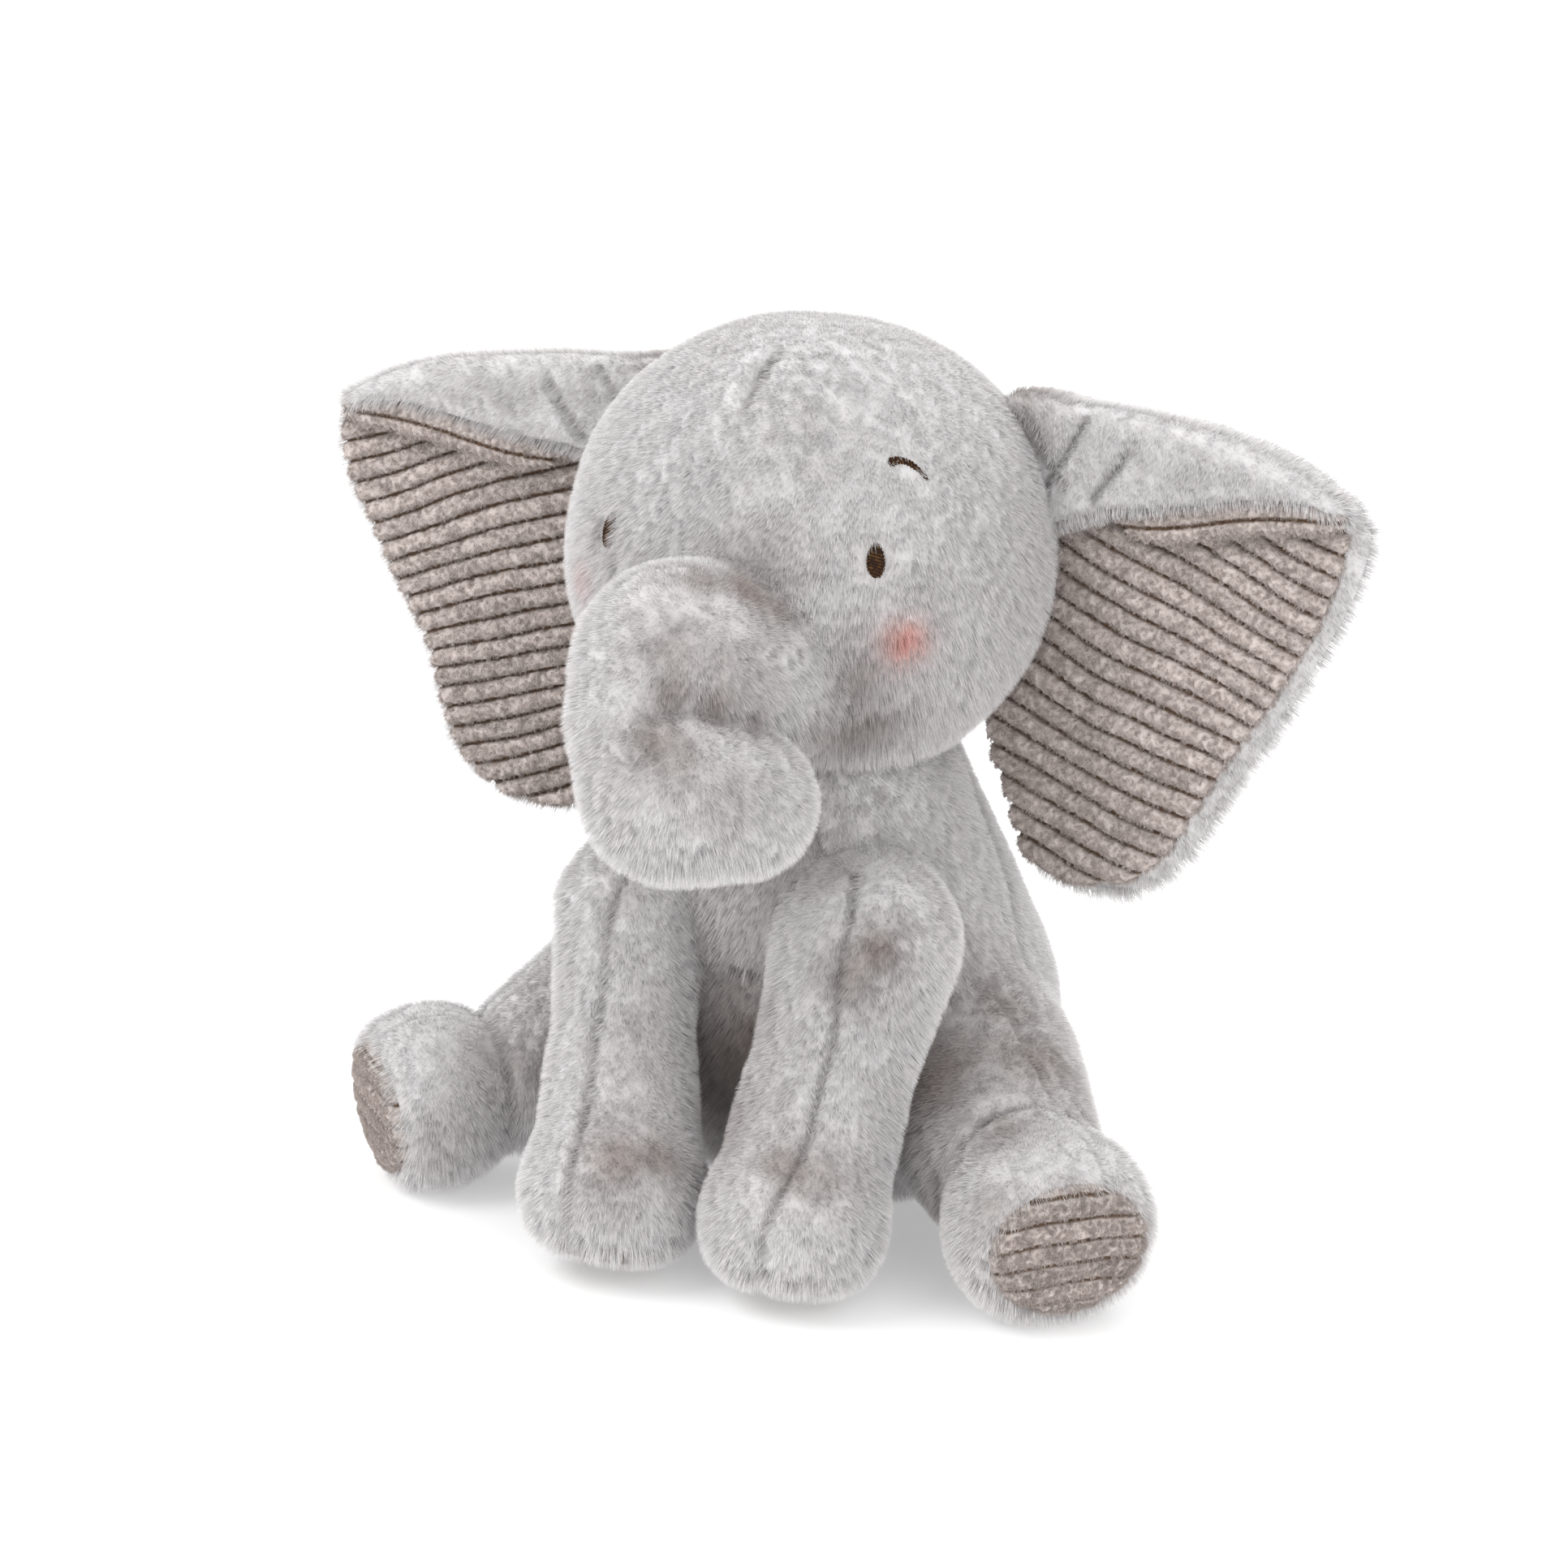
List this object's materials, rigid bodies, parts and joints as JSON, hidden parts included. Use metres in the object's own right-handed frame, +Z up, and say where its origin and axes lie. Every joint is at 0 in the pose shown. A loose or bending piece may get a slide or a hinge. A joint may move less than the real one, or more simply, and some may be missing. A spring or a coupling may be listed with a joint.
{
  "type": "stuffed elephant",
  "caption": "Seated plush elephant with a curled trunk, wide corduroy-lined ears folded over at the top, embroidered eyes and corduroy foot soles.",
  "frame": {"origin": "middle of the toy's footprint, on the surface it sits on", "axes": "+Z up; the toy faces -Y; its left side is towards +X"},
  "size_m": [0.2984, 0.2015, 0.2392],
  "materials": {
    "plush": "matte",
    "corduroy": "matte",
    "thread": "satin",
    "stuffing": "matte",
    "bag_cloth": "matte"
  },
  "bodies": {
    "torso": {"chest_gusset": "plush", "belly_gusset": "plush", "torso_side_left": "plush", "torso_side_right": "plush", "torso_stuffing": "stuffing", "pellet_bag": "bag_cloth"},
    "neck": {"neck_stuffing": "stuffing"},
    "head": {"head_side_left": "plush", "head_side_right": "plush", "head_stuffing": "stuffing", "eye_left": "thread", "eye_right": "thread", "brow_left": "thread", "brow_right": "thread"},
    "trunk": {"trunk_cover": "plush", "trunk_stuffing": "stuffing"},
    "ear_left": {"ear_back_left": "plush", "ear_lining_left": "corduroy"},
    "ear_right": {"ear_back_right": "plush", "ear_lining_right": "corduroy"},
    "front_leg_left": {"front_leg_cover_left": "plush", "front_leg_stuffing_left": "stuffing", "front_leg_sole_left": "corduroy"},
    "front_leg_right": {"front_leg_cover_right": "plush", "front_leg_stuffing_right": "stuffing", "front_leg_sole_right": "corduroy"},
    "hind_leg_left": {"hind_leg_cover_left": "plush", "hind_leg_stuffing_left": "stuffing", "hind_leg_sole_left": "corduroy"},
    "hind_leg_right": {"hind_leg_cover_right": "plush", "hind_leg_stuffing_right": "stuffing", "hind_leg_sole_right": "corduroy"},
    "tail": {"tail": "plush"}
  },
  "joints": [
    {"name": "head_turn", "type": "hinge", "parent": "torso", "child": "neck", "pos_m": [0, 0.003, 0.108], "axis": [0, 0, 1], "range_deg": [-20, 20], "stiffness_Nm_per_rad": 0.6},
    {"name": "head_nod", "type": "hinge", "parent": "neck", "child": "head", "pos_m": [0, 0.003, 0.108], "axis": [1, 0, 0], "range_deg": [-10, 12], "stiffness_Nm_per_rad": 2},
    {"name": "trunk_lift", "type": "hinge", "parent": "head", "child": "trunk", "pos_m": [0, -0.044, 0.162], "axis": [-1, 0, 0], "range_deg": [-2, 12], "stiffness_Nm_per_rad": 0.5},
    {"name": "ear_left_flap", "type": "hinge", "parent": "head", "child": "ear_left", "pos_m": [0.05, 0.025, 0.18], "axis": [0, -0.129, -0.9917], "range_deg": [-15, 20], "stiffness_Nm_per_rad": 0.1},
    {"name": "ear_right_flap", "type": "hinge", "parent": "head", "child": "ear_right", "pos_m": [-0.05, 0.025, 0.18], "axis": [0, 0.129, 0.9917], "range_deg": [-15, 20], "stiffness_Nm_per_rad": 0.1},
    {"name": "front_leg_left_swing", "type": "hinge", "parent": "torso", "child": "front_leg_left", "pos_m": [0.029, -0.025, 0.092], "axis": [-1, 0, 0], "range_deg": [0, 30], "stiffness_Nm_per_rad": 0.4},
    {"name": "front_leg_right_swing", "type": "hinge", "parent": "torso", "child": "front_leg_right", "pos_m": [-0.029, -0.025, 0.092], "axis": [-1, 0, 0], "range_deg": [0, 30], "stiffness_Nm_per_rad": 0.4},
    {"name": "hind_leg_left_splay", "type": "hinge", "parent": "torso", "child": "hind_leg_left", "pos_m": [0.042, 0.009, 0.04], "axis": [0, 0, 1], "range_deg": [0, 15], "stiffness_Nm_per_rad": 0.4},
    {"name": "hind_leg_right_splay", "type": "hinge", "parent": "torso", "child": "hind_leg_right", "pos_m": [-0.042, 0.009, 0.04], "axis": [0, 0, -1], "range_deg": [0, 15], "stiffness_Nm_per_rad": 0.4},
    {"name": "tail_swing", "type": "hinge", "parent": "torso", "child": "tail", "pos_m": [0, 0.0836, 0.056], "axis": [0, 1, 0], "range_deg": [-25, 25], "stiffness_Nm_per_rad": 0.02}
  ]
}
